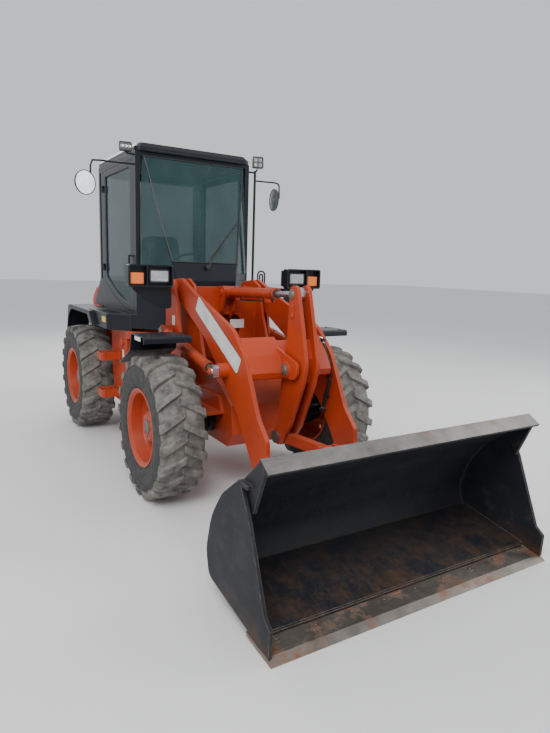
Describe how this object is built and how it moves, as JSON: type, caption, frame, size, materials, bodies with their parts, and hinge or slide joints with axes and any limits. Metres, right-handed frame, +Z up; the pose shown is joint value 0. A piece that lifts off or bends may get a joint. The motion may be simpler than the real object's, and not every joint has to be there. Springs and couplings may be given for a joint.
{
  "type": "wheel loader",
  "caption": "Compact articulated wheel loader with a front bucket on lift arms, a glazed cab, a rear engine hood and lugged tyres on dished rims.",
  "frame": {"origin": "on the ground under the middle of the machine's outline, mirrors included; the middle plane of the machine itself is at x = 0.0586 m", "axes": "+Z up, -Y to the front where the bucket is, +X to the machine's left side"},
  "size_m": [2.4372, 6.042, 3.2768],
  "materials": {
    "orange_paint": "satin",
    "dark_paint": "satin",
    "bucket_steel": "worn",
    "bright_steel": "polished",
    "edge_steel": "worn",
    "tyre_rubber": "matte",
    "tinted_glass": "clear",
    "black_plastic": "matte",
    "seat_cloth": "matte",
    "lamp_lens": "gloss",
    "amber_lens": "gloss",
    "red_lens": "gloss",
    "engine_iron": "rough",
    "hose_rubber": "satin"
  },
  "bodies": {
    "chassis": {"rear_frame": "orange_paint", "rear_axle": "dark_paint", "side_tanks": "orange_paint", "steps": "orange_paint", "rear_fenders": "dark_paint", "counterweight": "orange_paint", "engine_block": "engine_iron", "cab_frame": "dark_paint", "cab_roof": "dark_paint", "cab_glass": "tinted_glass", "seat": "seat_cloth", "dash_console": "black_plastic", "steering_wheel": "black_plastic", "mirror_arms": "dark_paint", "mirror_heads": "black_plastic", "work_lamps": "black_plastic", "tail_lamps": "red_lens", "wiper": "black_plastic"},
    "front_chassis": {"front_frame": "orange_paint", "front_axle": "dark_paint", "front_fenders": "dark_paint", "lamp_brackets": "dark_paint", "head_lamps": "lamp_lens", "turn_lamps": "amber_lens", "tower_hoses": "hose_rubber"},
    "boom": {"lift_arms": "orange_paint", "boom_hoses": "hose_rubber"},
    "bucket_hinge_pins": {"bucket_pins": "edge_steel"},
    "bucket": {"coupler": "orange_paint", "bucket_shell": "bucket_steel", "bucket_edge": "edge_steel"},
    "crank_hinge_pin": {"crank_pin": "orange_paint"},
    "crank": {"bell_crank": "orange_paint"},
    "link_hinge_pin": {"link_pin": "edge_steel"},
    "link": {"tilt_link": "orange_paint"},
    "tilt_ram_barrel": {"tilt_barrel": "orange_paint"},
    "tilt_ram_rod": {"tilt_rod": "bright_steel"},
    "lift_ram_barrels": {"lift_barrels": "orange_paint"},
    "lift_ram_rods": {"lift_rods": "bright_steel"},
    "door_left_body": {"door_left": "dark_paint", "door_glass_left": "tinted_glass"},
    "door_right_body": {"door_right": "dark_paint", "door_glass_right": "tinted_glass"},
    "hood": {"engine_hood": "orange_paint", "rear_grille": "black_plastic", "exhaust_pipe": "dark_paint"},
    "wheel_front_left": {"tyre_front_left": "tyre_rubber", "rim_front_left": "orange_paint"},
    "wheel_front_right": {"tyre_front_right": "tyre_rubber", "rim_front_right": "orange_paint"},
    "wheel_rear_left": {"tyre_rear_left": "tyre_rubber", "rim_rear_left": "orange_paint"},
    "wheel_rear_right": {"tyre_rear_right": "tyre_rubber", "rim_rear_right": "orange_paint"},
    "steering_ram_barrel_left": {"steering_barrel_left": "dark_paint"},
    "steering_ram_rod_left": {"steering_rod_left": "bright_steel"},
    "steering_ram_barrel_right": {"steering_barrel_right": "dark_paint"},
    "steering_ram_rod_right": {"steering_rod_right": "bright_steel"}
  },
  "joints": [
    {"name": "steering", "type": "hinge", "parent": "chassis", "child": "front_chassis", "pos_m": [0.05862, 0.721, 0.76], "axis": [0, 0, 1], "range_deg": [-38, 38]},
    {"name": "wheel_front_left_spin", "type": "hinge", "parent": "front_chassis", "child": "wheel_front_left", "pos_m": [0.92863, -0.579, 0.634], "axis": [1, 0, 0], "continuous": true},
    {"name": "wheel_front_right_spin", "type": "hinge", "parent": "front_chassis", "child": "wheel_front_right", "pos_m": [-0.81137, -0.579, 0.634], "axis": [1, 0, 0], "continuous": true},
    {"name": "wheel_rear_left_spin", "type": "hinge", "parent": "chassis", "child": "wheel_rear_left", "pos_m": [0.92863, 2.021, 0.634], "axis": [1, 0, 0], "continuous": true},
    {"name": "wheel_rear_right_spin", "type": "hinge", "parent": "chassis", "child": "wheel_rear_right", "pos_m": [-0.81137, 2.021, 0.634], "axis": [1, 0, 0], "continuous": true},
    {"name": "boom_lift", "type": "hinge", "parent": "front_chassis", "child": "boom", "pos_m": [0.05862, 0.161, 1.8], "axis": [-1, 0, 0], "range_deg": [0, 88]},
    {"name": "bucket_level", "type": "hinge", "parent": "boom", "child": "bucket_hinge_pins", "pos_m": [0.05862, -1.919, 0.41], "axis": [1, 0, 0], "range_deg": [0, 75.55]},
    {"name": "bucket_tilt", "type": "hinge", "parent": "bucket_hinge_pins", "child": "bucket", "pos_m": [0.05862, -1.919, 0.41], "axis": [1, 0, 0], "range_deg": [-50, 45]},
    {"name": "crank_lift_follow", "type": "hinge", "parent": "boom", "child": "crank_hinge_pin", "pos_m": [0.05862, -1.427, 1.228], "axis": [-1, 0, 0], "range_deg": [0, 27.55]},
    {"name": "crank_swing", "type": "hinge", "parent": "crank_hinge_pin", "child": "crank", "pos_m": [0.05862, -1.427, 1.228], "axis": [-1, 0, 0], "range_deg": [-12.62, 11.36]},
    {"name": "link_lift_follow", "type": "hinge", "parent": "crank", "child": "link_hinge_pin", "pos_m": [0.05862, -1.244, 0.61], "axis": [1, 0, 0], "range_deg": [0, 39.55]},
    {"name": "link_swing", "type": "hinge", "parent": "link_hinge_pin", "child": "link", "pos_m": [0.05862, -1.244, 0.61], "axis": [1, 0, 0], "range_deg": [-14.14, 12.73]},
    {"name": "tilt_ram_swing", "type": "hinge", "parent": "front_chassis", "child": "tilt_ram_barrel", "pos_m": [0.05862, -0.165, 1.784], "axis": [-1, 0, 0], "range_deg": [0, 100.08]},
    {"name": "tilt_ram_stroke", "type": "slide", "parent": "tilt_ram_barrel", "child": "tilt_ram_rod", "axis": [0, -0.9993, 0.0384], "range_m": [-0.125, 0.125]},
    {"name": "lift_ram_swing", "type": "hinge", "parent": "front_chassis", "child": "lift_ram_barrels", "pos_m": [0.05862, 0.101, 1.39], "axis": [-1, 0, 0], "range_deg": [0, 83.55]},
    {"name": "lift_ram_stroke", "type": "slide", "parent": "lift_ram_barrels", "child": "lift_ram_rods", "axis": [0, -0.9826, -0.1859], "range_m": [-0.001, 0.59]},
    {"name": "steering_ram_swing_left", "type": "hinge", "parent": "chassis", "child": "steering_ram_barrel_left", "pos_m": [0.24863, 0.851, 0.76], "axis": [0, 0, 1], "range_deg": [-31.56, 31.56]},
    {"name": "steering_ram_stroke_left", "type": "slide", "parent": "steering_ram_barrel_left", "child": "steering_ram_rod_left", "axis": [0.0454, -0.999, 0], "range_m": [-0.128, 0.128]},
    {"name": "steering_ram_swing_right", "type": "hinge", "parent": "chassis", "child": "steering_ram_barrel_right", "pos_m": [-0.13137, 0.851, 0.76], "axis": [0, 0, 1], "range_deg": [-31.56, 31.56]},
    {"name": "steering_ram_stroke_right", "type": "slide", "parent": "steering_ram_barrel_right", "child": "steering_ram_rod_right", "axis": [-0.0454, -0.999, 0], "range_m": [-0.128, 0.128]},
    {"name": "door_left_swing", "type": "hinge", "parent": "chassis", "child": "door_left_body", "pos_m": [0.73162, 1.907, 0], "axis": [0, 0, 1], "range_deg": [0, 85]},
    {"name": "door_right_swing", "type": "hinge", "parent": "chassis", "child": "door_right_body", "pos_m": [-0.61438, 1.907, 0], "axis": [0, 0, -1], "range_deg": [0, 85]},
    {"name": "hood_lift", "type": "hinge", "parent": "chassis", "child": "hood", "pos_m": [0.05862, 2.167, 1.864], "axis": [1, 0, 0], "range_deg": [0, 50]}
  ],
  "couplings": [
    {"joint": "bucket_level", "follows": "boom_lift", "ratio": 0.85},
    {"joint": "crank_lift_follow", "follows": "boom_lift", "ratio": 0.31},
    {"joint": "crank_swing", "follows": "bucket_tilt", "ratio": 0.25},
    {"joint": "link_lift_follow", "follows": "boom_lift", "ratio": 0.445},
    {"joint": "link_swing", "follows": "bucket_tilt", "ratio": 0.28},
    {"joint": "tilt_ram_swing", "follows": "boom_lift", "ratio": 1.126},
    {"joint": "tilt_ram_stroke", "follows": "bucket_tilt", "m_per_rad": -0.13},
    {"joint": "lift_ram_swing", "follows": "boom_lift", "ratio": 0.94},
    {"joint": "lift_ram_stroke", "follows": "boom_lift", "m_per_rad": 0.38},
    {"joint": "steering_ram_swing_left", "follows": "steering", "ratio": 0.8041},
    {"joint": "steering_ram_stroke_left", "follows": "steering", "m_per_rad": -0.1885},
    {"joint": "steering_ram_swing_right", "follows": "steering", "ratio": 0.8041},
    {"joint": "steering_ram_stroke_right", "follows": "steering", "m_per_rad": 0.1885}
  ]
}
